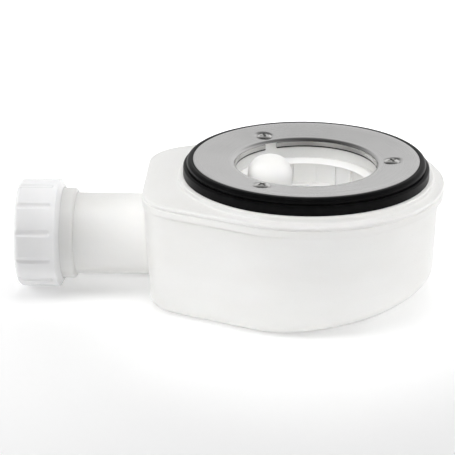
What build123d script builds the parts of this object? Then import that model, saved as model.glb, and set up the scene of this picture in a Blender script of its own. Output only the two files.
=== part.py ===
from build123d import *
import math
import os

os.makedirs("parts", exist_ok=True)

# Shower trap for a 90 mm tray hole, in millimetres. The origin is on the drain axis, at the plane where
# the tray is clamped between the two rubber rings. +Z points up out of the drain, and the outlet
# leaves towards -X.

# Clearances
slip_fit = 0.3            # pieces that lift out or turn
seat_gap = 0.2            # seals and rings in their seats, before they are squeezed
bedding = 0.05            # faces that bed on each other

# Plan of the rim
rim_radius = 70.2         # round end, about the drain axis
rim_reach = 81.8          # drain axis to the flat outlet end
side_angle = 24.7         # each straight side to the outlet axis, degrees
rim_corner = 12.0
rim_edge = 0.8            # rounding of the rim's edges

# Lid and tub
platform_height = 3.0     # raised ring under the tray seal
platform_margin = 2.9     # platform beyond the tray seal
platform_wall = 2.5
platform_edge = 0.8
lid_thickness = 2.0
tongue_depth = 2.5        # ring under the lid that drops into the tub
tongue_wall = 1.8
rim_height = 4.0          # tub's part of the rim
rim_overhang = 2.6        # rim beyond the tub's wall
tub_wall = 2.6
tub_corner = 13.0
tub_draft = 2.2           # degrees
floor_depth = 67.6        # clamping plane to the underside
floor_slope = 7.0         # floor under the round end, degrees
floor_blend = 150.0       # radius between the level floor and the slope
floor_edge = 3.6          # rounding of the underside's edge

# Outlet spigot
pipe_bore = 20.3          # radius of the socket for the waste pipe
pipe_socket = 20.0        # depth of that socket
passage_radius = 18.5
spigot_wall = 2.5
spigot_length = 35.8      # flat end to the collar
spigot_root = 3.0         # rounding where the spigot leaves the tub
spigot_offset = 1.05      # outlet axis above the middle of the tub's wall
collar_wall = 3.1
collar_length = 10.9
collar_edge = 1.8
thread_wall = 2.1         # spigot wall under the thread
thread_length = 10.9
mouth_chamfer = 1.4

# Compression nut, its slip ring and its tapered seal
cone_seal_length = 3.2
cone_seal_wall = 1.9
slip_ring_thickness = 1.4
slip_ring_wall = 2.4
nut_radius = 27.8
nut_length = 20.9
nut_flange = 2.8
nut_edge = 3.0
nut_back_cone = 2.0       # length of the tapered back face
nut_back_lip = 0.8        # wall left at the back edge
flute_count = 11
flute_radius = 2.0
flute_depth = 0.8
flute_stop = 3.7          # plain band behind the flutes
flute_start = 19.6        # first flute above the level, degrees

# Steel flange ring
flange_radius = 57.5
flange_sheet = 1.0
flange_rise = 3.2         # outer edge above the clamping plane
flange_dish = 5.5         # fall towards the drain, degrees
lip_radius = 36.0         # drain opening
lip_bend = 2.0            # outer radius of the turned-down lip
lip_depth = 5.5           # outer edge to the lip's lower edge
notch_width = 9.0         # gaps in the lip beside the screws
notch_height = 3.2

# Screws, on one circle
screw_count = 3
screw_circle = 43.5
screw_radius = 2.0
screw_length = 16.0
screw_tip = 2.0
head_radius = 3.75
head_recess = 0.3         # head below the steel's face
drive_length = 4.4
drive_width = 1.0
drive_depth = 1.3
boss_wall = 1.3
boss_length = 12.0        # boss below the platform's face

# Rubber rings
seal_height = 4.4
seal_margin = 4.6         # tray seal beyond the steel
seal_edge = 1.0
washer_margin = 3.2       # flange washer beyond the steel
washer_lip = 0.8          # width of the lip round the steel's edge
washer_step = 0.5         # steel's edge above that lip
washer_edge = 0.7         # upright part of the washer's edge

# Lid's neck and the lift-out cup
neck_wall = 3.0
neck_lower_wall = 2.6
seat_ledge = 2.6          # width of the ledge that carries the cup
seat_thickness = 2.5
cup_seal_thickness = 1.5
cup_top_depth = 11.2      # clamping plane to the cup's rim
cup_ledge_depth = 23.8    # clamping plane to the cup's inner ledge
cup_wall = 1.8
cup_floor = 2.2
cup_rim = 0.7             # flat top of the rim
cup_funnel = 2.0          # height of the sloping rim
cup_brow = 0.6            # upright edge under the slope
rib_count = 20
rib_thickness = 1.5
rib_depth = 1.7
well_radius = 29.0
well_shift = 1.5          # well's axis towards the outlet
well_wall = 2.0
well_edge = 3.0
sump_gap = 4.2            # under the well

# Bell and the standpipe under it
bell_width = 21.5
bell_length = 28.0
bell_corner = 9.0
bell_shift = 17.2         # bell's middle towards the outlet
bell_wall = 1.6
bell_edge = 4.0
bell_rise = 0.2           # top above the clamping plane
bell_foot = 5.0           # skirt above the well's floor
water_gap = 3.2           # between bell and standpipe
weir_drop = 12.2          # standpipe's rim below the bell's top
standpipe_wall = 1.5
fin_thickness = 1.5
fin_spacing = 10.0
fin_overlap = 18.0        # fins below the standpipe's rim

# Heights
platform_z = -seal_height
lid_z = platform_z - platform_height
parting_z = lid_z - lid_thickness
rim_base_z = parting_z - rim_height
foot_z = -floor_depth
outlet_z = (rim_base_z + foot_z) / 2 + spigot_offset

# Distances along the outlet, from the drain axis
collar_start = rim_reach + spigot_length
thread_start = collar_start + collar_length
mouth = thread_start + thread_length
cone_seal_end = mouth + seat_gap + cone_seal_length
slip_ring_start = cone_seal_end + seat_gap
slip_ring_end = slip_ring_start + slip_ring_thickness
nut_flange_face = slip_ring_end + seat_gap
nut_front = nut_flange_face + nut_flange
nut_back = nut_front - nut_length

# Radii about the outlet
spigot_radius = passage_radius + spigot_wall
collar_radius = pipe_bore + collar_wall
thread_radius = pipe_bore + thread_wall
nut_bore = collar_radius + slip_fit
nut_mouth = pipe_bore + 2 * seat_gap

# Radii about the drain
seal_radius = flange_radius + seal_margin
washer_radius = flange_radius + washer_margin
boss_radius = screw_radius + seat_gap + boss_wall
platform_radius = seal_radius + platform_margin
neck_radius = lip_radius + flange_sheet + slip_fit
cup_radius = lip_radius - slip_fit
seat_radius = cup_radius + slip_fit
ledge_radius = seat_radius - seat_ledge
pocket_radius = cup_radius - cup_wall
rib_radius = pocket_radius - rib_depth

# Cup and bell
cup_top_z = -cup_top_depth
cup_ledge_z = -cup_ledge_depth
cup_base_z = cup_ledge_z - cup_floor
seat_z = cup_base_z - cup_seal_thickness
neck_base_z = seat_z - seat_thickness
slope_start = -rim_radius * math.sin(math.radians(side_angle))
well_outer = well_radius + well_wall
slope_under_well = (well_outer - well_shift - slope_start) * math.tan(math.radians(floor_slope))
well_base_z = foot_z + slope_under_well + tub_wall + sump_gap
well_floor_z = well_base_z + well_wall
bell_skirt_z = well_floor_z + bell_foot
weir_z = bell_rise - weir_drop
standpipe_width = bell_width - 2 * (bell_wall + water_gap)
standpipe_length = bell_length - 2 * (bell_wall + water_gap)
standpipe_corner = bell_corner - bell_wall - water_gap

# Steel at the screws
dish_fall = math.tan(math.radians(flange_dish))
head_z = flange_rise - (flange_radius - screw_circle) * dish_fall - head_recess
cone_depth = head_radius - screw_radius
dimple_base_z = head_z - cone_depth - flange_sheet
boss_top_z = dimple_base_z - slip_fit
dimple_radius = screw_radius + flange_sheet + head_z + head_recess - dimple_base_z
ring_inner = screw_circle + max(dimple_radius, boss_radius) + slip_fit
lip_base_z = flange_rise - lip_depth

outlet_axis = Axis((0, 0, outlet_z), (-1, 0, 0))
outlet_section = Plane(origin=(0, 0, outlet_z), x_dir=(-1, 0, 0), z_dir=(0, 1, 0))


# Heights of the steel's two faces at a radius
def steel_top(radius):
    return flange_rise - (flange_radius - radius) * dish_fall


def steel_under(radius):
    return steel_top(radius) - flange_sheet


# Rim outline in plan, moved inwards: a round end, straight sides and a flat outlet end
def trap_outline(inset, corner):
    radius = rim_radius - inset
    reach = rim_reach - inset
    slant = math.radians(side_angle)
    tangent_x = -radius * math.sin(slant)
    tangent_y = radius * math.cos(slant)
    end_y = tangent_y - (reach + tangent_x) * math.tan(slant)
    with BuildSketch() as outline:
        with BuildLine():
            ThreePointArc((tangent_x, -tangent_y), (radius, 0), (tangent_x, tangent_y))
            Polyline((tangent_x, tangent_y), (-reach, end_y), (-reach, -end_y), (tangent_x, -tangent_y))
        make_face()
        fillet(outline.vertices().group_by(Axis.X)[0], corner)
    return outline.sketch


# Drafted tub form below the parting line, with a level floor that rises under the round end
def tub_form(inset, corner, floor_lift, edge_radius):
    floor_z = foot_z + floor_lift
    cut_z = floor_z - tub_wall
    lower_inset = inset + (parting_z - cut_z) * math.tan(math.radians(tub_draft))
    far_rise = (rim_radius - slope_start) * math.tan(math.radians(floor_slope))
    with BuildPart() as form:
        with BuildSketch(Plane.XY.offset(parting_z)):
            add(trap_outline(inset, corner))
        with BuildSketch(Plane.XY.offset(cut_z)):
            add(trap_outline(lower_inset, corner))
        loft(ruled=True)
        with BuildSketch(Plane.XZ) as underside:
            with BuildLine():
                Polyline((-rim_reach, floor_z), (slope_start, floor_z), (rim_radius, floor_z + far_rise),
                         (rim_radius, cut_z - tub_wall), (-rim_reach, cut_z - tub_wall), close=True)
            make_face()
            fillet(underside.vertices().sort_by_distance((slope_start, floor_z))[0], floor_blend)
        extrude(amount=rim_radius, both=True, mode=Mode.SUBTRACT)
        floors = form.faces().filter_by(lambda face: face.normal_at().Z < -0.9)
        walls = form.faces().filter_by(lambda face: abs(face.normal_at().Z) < 0.5)
        fillet(floors.edges() & walls.edges(), edge_radius)
    return form.part


# Rounded oblong of the bell and standpipe, in plan
def bell_outline(width, length, corner):
    with BuildSketch() as oblong:
        with Locations((-bell_shift, 0)):
            RectangleRounded(width, length, corner)
    return oblong.sketch


# Piece turned about the outlet from its half section: distance from the drain axis, then radius
def outlet_turned(*points):
    with BuildPart() as turned:
        with BuildSketch(outlet_section):
            with BuildLine():
                Polyline(*points, close=True)
            make_face()
        revolve(axis=outlet_axis)
    return turned.part


# Tub and outlet spigot, one moulding
with BuildPart() as body:
    add(tub_form(rim_overhang, tub_corner, 0, floor_edge))
    add(outlet_turned(
        (rim_reach / 2, 0), (rim_reach / 2, spigot_radius), (collar_start, spigot_radius),
        (collar_start, collar_radius), (thread_start, collar_radius), (thread_start, thread_radius),
        (mouth, thread_radius), (mouth, 0)))
    rings = body.edges().filter_by(lambda edge: edge.is_closed)
    fillet(rings.sort_by(Axis.X)[-1], spigot_root)
    rings = body.edges().filter_by(lambda edge: edge.is_closed)
    collar_rings = rings.filter_by_position(Axis.X, -collar_start, -collar_start)
    fillet(collar_rings.sort_by(SortBy.RADIUS)[-1], collar_edge)
    with BuildSketch(Plane.XY.offset(parting_z)):
        add(trap_outline(0, rim_corner))
    extrude(amount=-rim_height)
    rim_underside = body.faces().filter_by(Axis.Z).group_by(Axis.Z)[-2]
    fillet(rim_underside.edges().group_by(SortBy.LENGTH)[-1], rim_edge / 2)
    add(tub_form(rim_overhang + tub_wall, tub_corner - tub_wall, tub_wall, floor_edge - tub_wall / 2),
        mode=Mode.SUBTRACT)
    add(outlet_turned(
        (rim_reach / 2, 0), (rim_reach / 2, passage_radius), (mouth - pipe_socket, passage_radius),
        (mouth - pipe_socket, pipe_bore), (mouth - mouth_chamfer, pipe_bore),
        (mouth, pipe_bore + mouth_chamfer), (mouth, 0)), mode=Mode.SUBTRACT)
body.part.label = "body"
export_step(body.part, "parts/body.step")


# Lid, welded to the tub along the rim: platform for the tray seal, neck for the cup and screw bosses
neck_outer = neck_radius + neck_wall
tongue_inset = rim_overhang + tub_wall + slip_fit + tongue_depth * math.tan(math.radians(tub_draft))
tongue_corner = tub_corner - tub_wall
with BuildPart() as lid:
    with BuildSketch(Plane.XY.offset(parting_z)):
        add(trap_outline(0, rim_corner))
    extrude(amount=lid_thickness)
    fillet(lid.faces().sort_by(Axis.Z)[-1].edges(), rim_edge)
    with BuildSketch(Plane.XY.offset(lid_z)):
        Circle(platform_radius)
    extrude(amount=platform_height)
    rings = lid.edges().filter_by(GeomType.CIRCLE).filter_by(lambda edge: edge.is_closed)
    fillet(rings.sort_by(Axis.Z), platform_edge)
    with BuildSketch(Plane.XY.offset(parting_z)):
        Circle(platform_radius - platform_wall)
    extrude(amount=platform_z - platform_wall - parting_z, mode=Mode.SUBTRACT)
    with BuildSketch(Plane.XY.offset(parting_z)):
        add(trap_outline(tongue_inset, tongue_corner))
        add(trap_outline(tongue_inset + tongue_wall, tongue_corner - tongue_wall), mode=Mode.SUBTRACT)
    extrude(amount=-tongue_depth)
    with BuildSketch(Plane.XY.offset(boss_top_z)):
        Circle(neck_outer)
        with PolarLocations(screw_circle, screw_count):
            Circle(boss_radius)
    extrude(amount=platform_z - boss_length - boss_top_z)
    with BuildSketch(Plane.XY.offset(neck_base_z)):
        Circle(seat_radius + neck_lower_wall)
    extrude(amount=boss_top_z - neck_base_z)
    with BuildSketch(Plane.XZ):
        with BuildLine():
            Polyline((0, boss_top_z), (neck_radius, boss_top_z), (neck_radius, cup_top_z),
                     (seat_radius, cup_top_z), (seat_radius, seat_z), (ledge_radius, seat_z),
                     (ledge_radius, neck_base_z), (0, neck_base_z), close=True)
        make_face()
    revolve(axis=Axis.Z, mode=Mode.SUBTRACT)
    with BuildSketch(Plane.XY.offset(boss_top_z)):
        with PolarLocations(screw_circle, screw_count):
            Circle(screw_radius + seat_gap)
    extrude(amount=head_z - screw_length - seat_gap - boss_top_z, mode=Mode.SUBTRACT)
lid.part.label = "lid"
export_step(lid.part, "parts/lid.step")

# Rubber ring between the tray's underside and the lid
with BuildPart() as tray_seal:
    with BuildSketch(Plane.XZ) as section:
        with BuildLine():
            Polyline((ring_inner, platform_z), (seal_radius, platform_z), (seal_radius, 0), (ring_inner, 0),
                     close=True)
        make_face()
        fillet(section.vertices().sort_by_distance((seal_radius, 0))[0], seal_edge)
    revolve(axis=Axis.Z)
tray_seal.part.label = "tray_seal"
export_step(tray_seal.part, "parts/tray_seal.step")

# Rubber washer between the steel ring and the tray, with a lip round the steel's edge
washer_lip_z = flange_rise - washer_step
washer_bore = flange_radius + seat_gap
with BuildPart() as flange_washer:
    with BuildSketch(Plane.XZ) as section:
        with BuildLine():
            Polyline((ring_inner, 0), (washer_radius, 0), (washer_radius, washer_edge),
                     (washer_bore + washer_lip, washer_lip_z), (washer_bore, washer_lip_z),
                     (washer_bore, steel_under(flange_radius) - bedding),
                     (ring_inner, steel_under(ring_inner) - bedding), close=True)
        make_face()
        shoulder = section.vertices().sort_by_distance((washer_radius, washer_edge))[0]
        brow = section.vertices().sort_by_distance((washer_bore + washer_lip, washer_lip_z))[0]
        fillet([shoulder, brow], washer_lip / 2)
    revolve(axis=Axis.Z)
flange_washer.part.label = "flange_washer"
export_step(flange_washer.part, "parts/flange_washer.step")

# Pressed steel ring: dished face, turned-down lip with a gap beside each screw, countersunk dimples
with BuildPart() as flange_ring:
    with BuildSketch(Plane.XY.offset(dimple_base_z)):
        with PolarLocations(screw_circle, screw_count):
            Circle(screw_radius + flange_sheet)
    extrude(amount=flange_rise - dimple_base_z, taper=-45)
    with BuildSketch(Plane.XZ):
        with BuildLine():
            Polyline((0, steel_top(0)), (2 * flange_radius, steel_top(2 * flange_radius)),
                     (2 * flange_radius, 2 * flange_radius), (0, 2 * flange_radius), close=True)
        make_face()
    revolve(axis=Axis.Z, mode=Mode.SUBTRACT)
    with BuildSketch(Plane.XZ) as section:
        with BuildLine():
            Polyline((flange_radius, flange_rise), (lip_radius, steel_top(lip_radius)),
                     (lip_radius, lip_base_z), (lip_radius + flange_sheet, lip_base_z),
                     (lip_radius + flange_sheet, steel_under(lip_radius + flange_sheet)),
                     (flange_radius, steel_under(flange_radius)), close=True)
        make_face()
        fillet(section.vertices().sort_by_distance((lip_radius, steel_top(lip_radius)))[0], lip_bend)
        fillet(section.vertices().sort_by_distance((flange_radius, flange_rise))[0], flange_sheet / 3)
    revolve(axis=Axis.Z)
    with BuildSketch(Plane.XY.offset(head_z - cone_depth)):
        with PolarLocations(screw_circle, screw_count):
            Circle(screw_radius + bedding)
    extrude(amount=cone_depth + 2 * head_recess, taper=-45, mode=Mode.SUBTRACT)
    with BuildSketch(Plane.XY.offset(dimple_base_z)):
        with PolarLocations(screw_circle, screw_count):
            Circle(screw_radius + bedding)
    extrude(amount=flange_rise - dimple_base_z, mode=Mode.SUBTRACT)
    with BuildSketch(Plane.XY.offset(lip_base_z)):
        with PolarLocations(lip_radius, screw_count):
            Rectangle(4 * flange_sheet, notch_width)
    extrude(amount=notch_height, mode=Mode.SUBTRACT)
flange_ring.part.label = "flange_ring"
export_step(flange_ring.part, "parts/flange_ring.step")

# Countersunk cross-recess screws through the steel into the lid's bosses
with BuildPart() as flange_screws:
    with BuildSketch(Plane.XY.offset(head_z - cone_depth)):
        with PolarLocations(screw_circle, screw_count):
            Circle(screw_radius)
    extrude(amount=cone_depth, taper=-45)
    with BuildSketch(Plane.XY.offset(head_z - cone_depth)):
        with PolarLocations(screw_circle, screw_count):
            Circle(screw_radius)
    extrude(amount=-(screw_length - cone_depth))
    chamfer(flange_screws.edges().filter_by(GeomType.CIRCLE).group_by(Axis.Z)[0], screw_tip, screw_radius / 2)
    with BuildSketch(Plane.XY.offset(head_z)):
        with PolarLocations(screw_circle, screw_count):
            Rectangle(drive_length, drive_width)
            Rectangle(drive_width, drive_length)
    extrude(amount=-drive_depth, mode=Mode.SUBTRACT)
flange_screws.part.label = "flange_screws"
export_step(flange_screws.part, "parts/flange_screws.step")

# Lift-out cup: ribbed basin with a ledge, a deep water well and the standpipe
rib_top_z = cup_top_z - cup_funnel - cup_brow
with BuildPart() as trap_cup:
    with BuildSketch(Plane.XZ):
        with BuildLine():
            Polyline((0, cup_base_z), (cup_radius, cup_base_z), (cup_radius, cup_top_z),
                     (cup_radius - cup_rim, cup_top_z), (rib_radius, cup_top_z - cup_funnel),
                     (rib_radius, rib_top_z), (pocket_radius, rib_top_z), (pocket_radius, cup_ledge_z),
                     (0, cup_ledge_z), close=True)
        make_face()
    revolve(axis=Axis.Z)
    rib_reach = pocket_radius + cup_wall / 2 - rib_radius
    with BuildSketch(Plane.XY.offset(cup_ledge_z)):
        with PolarLocations(rib_radius + rib_reach / 2, rib_count):
            Rectangle(rib_reach, rib_thickness)
    extrude(amount=rib_top_z - cup_ledge_z)
    with BuildSketch(Plane.XY.offset(well_base_z)):
        with Locations((-well_shift, 0)):
            Circle(well_outer)
    extrude(amount=cup_ledge_z - well_base_z)
    fillet(trap_cup.edges().group_by(Axis.Z)[0], well_edge)
    with BuildSketch(Plane.XY.offset(well_floor_z)):
        with Locations((-well_shift, 0)):
            Circle(well_radius)
    extrude(amount=cup_ledge_z - well_floor_z, mode=Mode.SUBTRACT)
    with BuildSketch(Plane.XY.offset(well_base_z)):
        add(bell_outline(standpipe_width, standpipe_length, standpipe_corner))
    extrude(amount=weir_z - well_base_z)
    with BuildSketch(Plane.XY.offset(well_base_z)):
        add(bell_outline(standpipe_width - 2 * standpipe_wall, standpipe_length - 2 * standpipe_wall,
                         standpipe_corner - standpipe_wall))
    extrude(amount=weir_z - well_base_z, mode=Mode.SUBTRACT)
trap_cup.part.label = "trap_cup"
export_step(trap_cup.part, "parts/trap_cup.step")

# Rubber ring under the cup
with BuildPart() as cup_seal:
    with BuildSketch(Plane.XY.offset(seat_z)):
        Circle(cup_radius)
        Circle(ledge_radius, mode=Mode.SUBTRACT)
    extrude(amount=cup_seal_thickness)
cup_seal.part.label = "cup_seal"
export_step(cup_seal.part, "parts/cup_seal.step")

# Bell over the standpipe, carried by two inner fins that sit on the standpipe's rim
with BuildPart() as bell:
    with BuildSketch(Plane.XY.offset(bell_skirt_z)):
        add(bell_outline(bell_width, bell_length, bell_corner))
    extrude(amount=bell_rise - bell_skirt_z)
    fillet(bell.faces().sort_by(Axis.Z)[-1].edges(), bell_edge)
    with BuildSketch(Plane.XY.offset(bell_skirt_z)):
        add(bell_outline(bell_width - 2 * bell_wall, bell_length - 2 * bell_wall, bell_corner - bell_wall))
    extrude(amount=bell_rise - bell_edge - bell_skirt_z, mode=Mode.SUBTRACT)
    with BuildSketch(Plane.XY.offset(weir_z - fin_overlap)):
        with Locations((-bell_shift, -fin_spacing / 2), (-bell_shift, fin_spacing / 2)):
            Rectangle(bell_width - bell_wall, fin_thickness)
    extrude(amount=bell_rise - bell_edge + bell_wall - weir_z + fin_overlap)
    with BuildSketch(Plane.XY.offset(weir_z)):
        add(bell_outline(standpipe_width + 2 * seat_gap, standpipe_length + 2 * seat_gap,
                         standpipe_corner + seat_gap))
    extrude(amount=-fin_overlap, mode=Mode.SUBTRACT)
bell.part.label = "bell"
export_step(bell.part, "parts/bell.step")

# Tapered rubber ring in the spigot's mouth
cone_lift = seat_gap * math.sqrt(2)
cone_bore = pipe_bore + seat_gap
cone_seal_tip = mouth - mouth_chamfer + cone_lift + seat_gap
with BuildPart() as cone_seal:
    add(outlet_turned(
        (cone_seal_tip, cone_bore), (mouth + seat_gap, cone_bore + mouth + seat_gap - cone_seal_tip),
        (mouth + seat_gap, cone_bore + cone_seal_wall), (cone_seal_end, cone_bore + cone_seal_wall),
        (cone_seal_end, cone_bore)))
cone_seal.part.label = "cone_seal"
export_step(cone_seal.part, "parts/cone_seal.step")

# Slip ring between the tapered seal and the nut
with BuildPart() as slip_ring:
    add(outlet_turned(
        (slip_ring_start, cone_bore), (slip_ring_start, cone_bore + slip_ring_wall),
        (slip_ring_end, cone_bore + slip_ring_wall), (slip_ring_end, cone_bore)))
slip_ring.part.label = "slip_ring"
export_step(slip_ring.part, "parts/slip_ring.step")

# Compression nut with finger flutes and a tapered back face
flute_end = Plane(origin=(-nut_back - flute_stop, 0, outlet_z), x_dir=(0, -1, 0), z_dir=(-1, 0, 0))
flute_circle = nut_radius + flute_radius - flute_depth
with BuildPart() as compression_nut:
    add(outlet_turned(
        (nut_back - nut_back_cone, nut_bore), (nut_back - nut_back_cone, nut_bore + nut_back_lip),
        (nut_back, nut_radius), (nut_front, nut_radius), (nut_front, nut_mouth),
        (nut_flange_face, nut_mouth), (nut_flange_face, nut_bore)))
    front_edges = compression_nut.edges().filter_by(GeomType.CIRCLE).group_by(Axis.X)[0]
    fillet(front_edges.sort_by(SortBy.RADIUS)[-1], nut_edge)
    with BuildSketch(flute_end):
        with PolarLocations(flute_circle, flute_count, flute_start):
            Circle(flute_radius)
    extrude(amount=nut_length, mode=Mode.SUBTRACT)
    with Locations(flute_end):
        with PolarLocations(flute_circle, flute_count, flute_start):
            Sphere(flute_radius, mode=Mode.SUBTRACT)
compression_nut.part.label = "compression_nut"
export_step(compression_nut.part, "parts/compression_nut.step")
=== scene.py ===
import bpy
import bmesh
import math
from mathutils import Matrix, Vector


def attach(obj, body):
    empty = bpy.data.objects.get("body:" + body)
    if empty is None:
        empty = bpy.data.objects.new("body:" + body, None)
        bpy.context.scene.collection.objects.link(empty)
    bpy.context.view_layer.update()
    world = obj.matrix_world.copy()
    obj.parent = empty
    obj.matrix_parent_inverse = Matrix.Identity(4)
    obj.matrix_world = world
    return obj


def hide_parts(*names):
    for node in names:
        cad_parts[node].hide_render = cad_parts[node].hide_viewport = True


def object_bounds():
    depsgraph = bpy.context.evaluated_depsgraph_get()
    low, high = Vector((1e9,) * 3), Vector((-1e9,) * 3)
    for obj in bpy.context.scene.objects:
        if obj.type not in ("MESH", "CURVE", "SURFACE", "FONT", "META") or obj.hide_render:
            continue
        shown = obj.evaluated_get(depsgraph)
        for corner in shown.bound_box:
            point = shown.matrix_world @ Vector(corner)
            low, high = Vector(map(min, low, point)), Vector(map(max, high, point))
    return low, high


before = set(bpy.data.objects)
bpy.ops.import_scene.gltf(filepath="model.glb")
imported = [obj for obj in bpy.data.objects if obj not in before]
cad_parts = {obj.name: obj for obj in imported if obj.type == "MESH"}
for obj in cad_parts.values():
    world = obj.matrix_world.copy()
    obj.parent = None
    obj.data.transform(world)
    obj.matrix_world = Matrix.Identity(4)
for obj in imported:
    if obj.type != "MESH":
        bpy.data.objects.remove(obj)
cadLow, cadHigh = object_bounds()
scene = bpy.context.scene
mm = 0.001
outletZ = -39.45     # height of the outlet's axis, in millimetres
screwCircle = 43.5     # how far the screws stand from the drain's axis
screwAngles = [0, 120, 240]
screwSpacing = 360 / len(screwAngles)
print("frame loaded:", len(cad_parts), "nodes")


# small helpers for node materials

def newMaterial(name):
    mat = bpy.data.materials.new(name)
    mat.use_nodes = True
    tree = mat.node_tree
    return mat, tree, tree.nodes["Principled BSDF"]


def addNode(tree, kind, **values):
    node = tree.nodes.new(kind)
    for key, value in values.items():
        if key in node.inputs:
            node.inputs[key].default_value = value
        else:
            setattr(node, key, value)
    return node


def noiseOn(tree, scale, detail=3.0, rough=0.5, stretch=(1, 1, 1)):
    coord = addNode(tree, "ShaderNodeTexCoord")
    mapping = addNode(tree, "ShaderNodeMapping", Scale=stretch)
    noise = addNode(tree, "ShaderNodeTexNoise", Scale=scale, Detail=detail, Roughness=rough)
    tree.links.new(coord.outputs["Object"], mapping.inputs["Vector"])
    tree.links.new(mapping.outputs["Vector"], noise.inputs["Vector"])
    return noise.outputs["Fac"]


def rampOn(tree, source, low, high, start=0.35, end=0.65):
    ramp = addNode(tree, "ShaderNodeValToRGB")
    ramp.color_ramp.elements[0].position = start
    ramp.color_ramp.elements[0].color = (*low, 1)
    ramp.color_ramp.elements[1].position = end
    ramp.color_ramp.elements[1].color = (*high, 1)
    tree.links.new(source, ramp.inputs["Fac"])
    return ramp.outputs["Color"]


def spreadOn(tree, source, low, high):
    spread = addNode(tree, "ShaderNodeMapRange")
    spread.inputs["To Min"].default_value = low
    spread.inputs["To Max"].default_value = high
    tree.links.new(source, spread.inputs["Value"])
    return spread.outputs["Result"]


def stepOn(tree, source, start, end, low=0.0, high=1.0):
    step = addNode(tree, "ShaderNodeMapRange", interpolation_type="SMOOTHSTEP")
    step.inputs["From Min"].default_value = start
    step.inputs["From Max"].default_value = end
    step.inputs["To Min"].default_value = low
    step.inputs["To Max"].default_value = high
    tree.links.new(source, step.inputs["Value"])
    return step.outputs["Result"]


def bumpOn(tree, source, strength, distance, before=None):
    bump = addNode(tree, "ShaderNodeBump", Strength=strength, Distance=distance)
    tree.links.new(source, bump.inputs["Height"])
    if before is not None:
        tree.links.new(before, bump.inputs["Normal"])
    return bump.outputs["Normal"]


def mathOn(tree, kind, first, second):
    node = addNode(tree, "ShaderNodeMath", operation=kind)
    for place, value in zip(node.inputs, (first, second)):
        tree.links.new(value, place)
    return node.outputs["Value"]


# white plastics: faint flow marks in the colour, soft waviness and a fine mould grain
plasticBase = {
    "ior": 1.49, "waveHeight": 0.4 * mm, "grainHeight": 0.02 * mm, "scatter": (1.0, 0.95, 0.85),
    "scatterDepth": 1.2 * mm,
}


def whitePlastic(name, look):
    mat, tree, shader = newMaterial(name)
    flow = noiseOn(tree, look["flowScale"], detail=2, stretch=look["flowStretch"])
    tree.links.new(rampOn(tree, flow, look["shade"], look["colour"]), shader.inputs["Base Color"])
    grain = noiseOn(tree, look["grainScale"], detail=4)
    tree.links.new(spreadOn(tree, grain, *look["roughness"]), shader.inputs["Roughness"])
    ripple = noiseOn(tree, look["waveScale"], detail=1)
    wave = bumpOn(tree, ripple, look["wave"], plasticBase["waveHeight"])
    skin = bumpOn(tree, grain, look["grain"], plasticBase["grainHeight"], wave)
    tree.links.new(skin, shader.inputs["Normal"])
    shader.inputs["IOR"].default_value = plasticBase["ior"]
    shader.inputs["Subsurface Weight"].default_value = look["translucent"]
    shader.inputs["Subsurface Radius"].default_value = plasticBase["scatter"]
    shader.inputs["Subsurface Scale"].default_value = plasticBase["scatterDepth"]
    return mat


mouldingLook = {
    "colour": (0.765, 0.762, 0.75), "shade": (0.745, 0.741, 0.725), "flowScale": 28,
    "flowStretch": (1, 1, 2.5), "grainScale": 2600, "roughness": (0.24, 0.34), "grain": 0.10,
    "waveScale": 60, "wave": 0.012, "translucent": 0.1,
}
insertLook = {
    "colour": (0.85, 0.848, 0.838), "shade": (0.835, 0.83, 0.812), "flowScale": 40,
    "flowStretch": (1, 1, 2), "grainScale": 2200, "roughness": (0.28, 0.38), "grain": 0.10,
    "waveScale": 80, "wave": 0.012, "translucent": 0.15,
}
nutLook = {
    "colour": (0.90, 0.90, 0.905), "shade": (0.88, 0.88, 0.885), "flowScale": 35,
    "flowStretch": (2.5, 1, 1), "grainScale": 2800, "roughness": (0.20, 0.30), "grain": 0.08,
    "waveScale": 100, "wave": 0.015, "translucent": 0.1,
}
slipLook = {
    "colour": (0.74, 0.74, 0.73), "shade": (0.70, 0.70, 0.69), "flowScale": 60,
    "flowStretch": (1, 1, 1), "grainScale": 2400, "roughness": (0.35, 0.45), "grain": 0.12,
    "waveScale": 120, "wave": 0.03, "translucent": 0.1,
}


# rubber: near black with a chalky bloom, matt grain
rubberBase = {"ior": 1.5, "grainHeight": 0.03 * mm, "bloomSpan": (0.45, 0.85)}


def moulded(name, look):
    mat, tree, shader = newMaterial(name)
    bloom = noiseOn(tree, look["bloomScale"], detail=5, rough=0.6)
    colour = rampOn(tree, bloom, look["colour"], look["bloom"], *rubberBase["bloomSpan"])
    tree.links.new(colour, shader.inputs["Base Color"])
    grain = noiseOn(tree, look["grainScale"], detail=3)
    tree.links.new(spreadOn(tree, grain, *look["roughness"]), shader.inputs["Roughness"])
    skin = bumpOn(tree, grain, look["grain"], rubberBase["grainHeight"])
    tree.links.new(skin, shader.inputs["Normal"])
    shader.inputs["IOR"].default_value = rubberBase["ior"]
    shader.inputs["Specular IOR Level"].default_value = look["gloss"]
    return mat


rubberLook = {
    "colour": (0.003, 0.003, 0.0033), "bloom": (0.007, 0.007, 0.007), "bloomScale": 180, "grainScale": 3200,
    "roughness": (0.28, 0.38), "grain": 0.2, "gloss": 0.06,
}
softSealLook = {
    "colour": (0.02, 0.02, 0.021), "bloom": (0.04, 0.04, 0.04), "bloomScale": 220, "grainScale": 3000,
    "roughness": (0.45, 0.6), "grain": 0.25, "gloss": 0.3,
}


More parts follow.
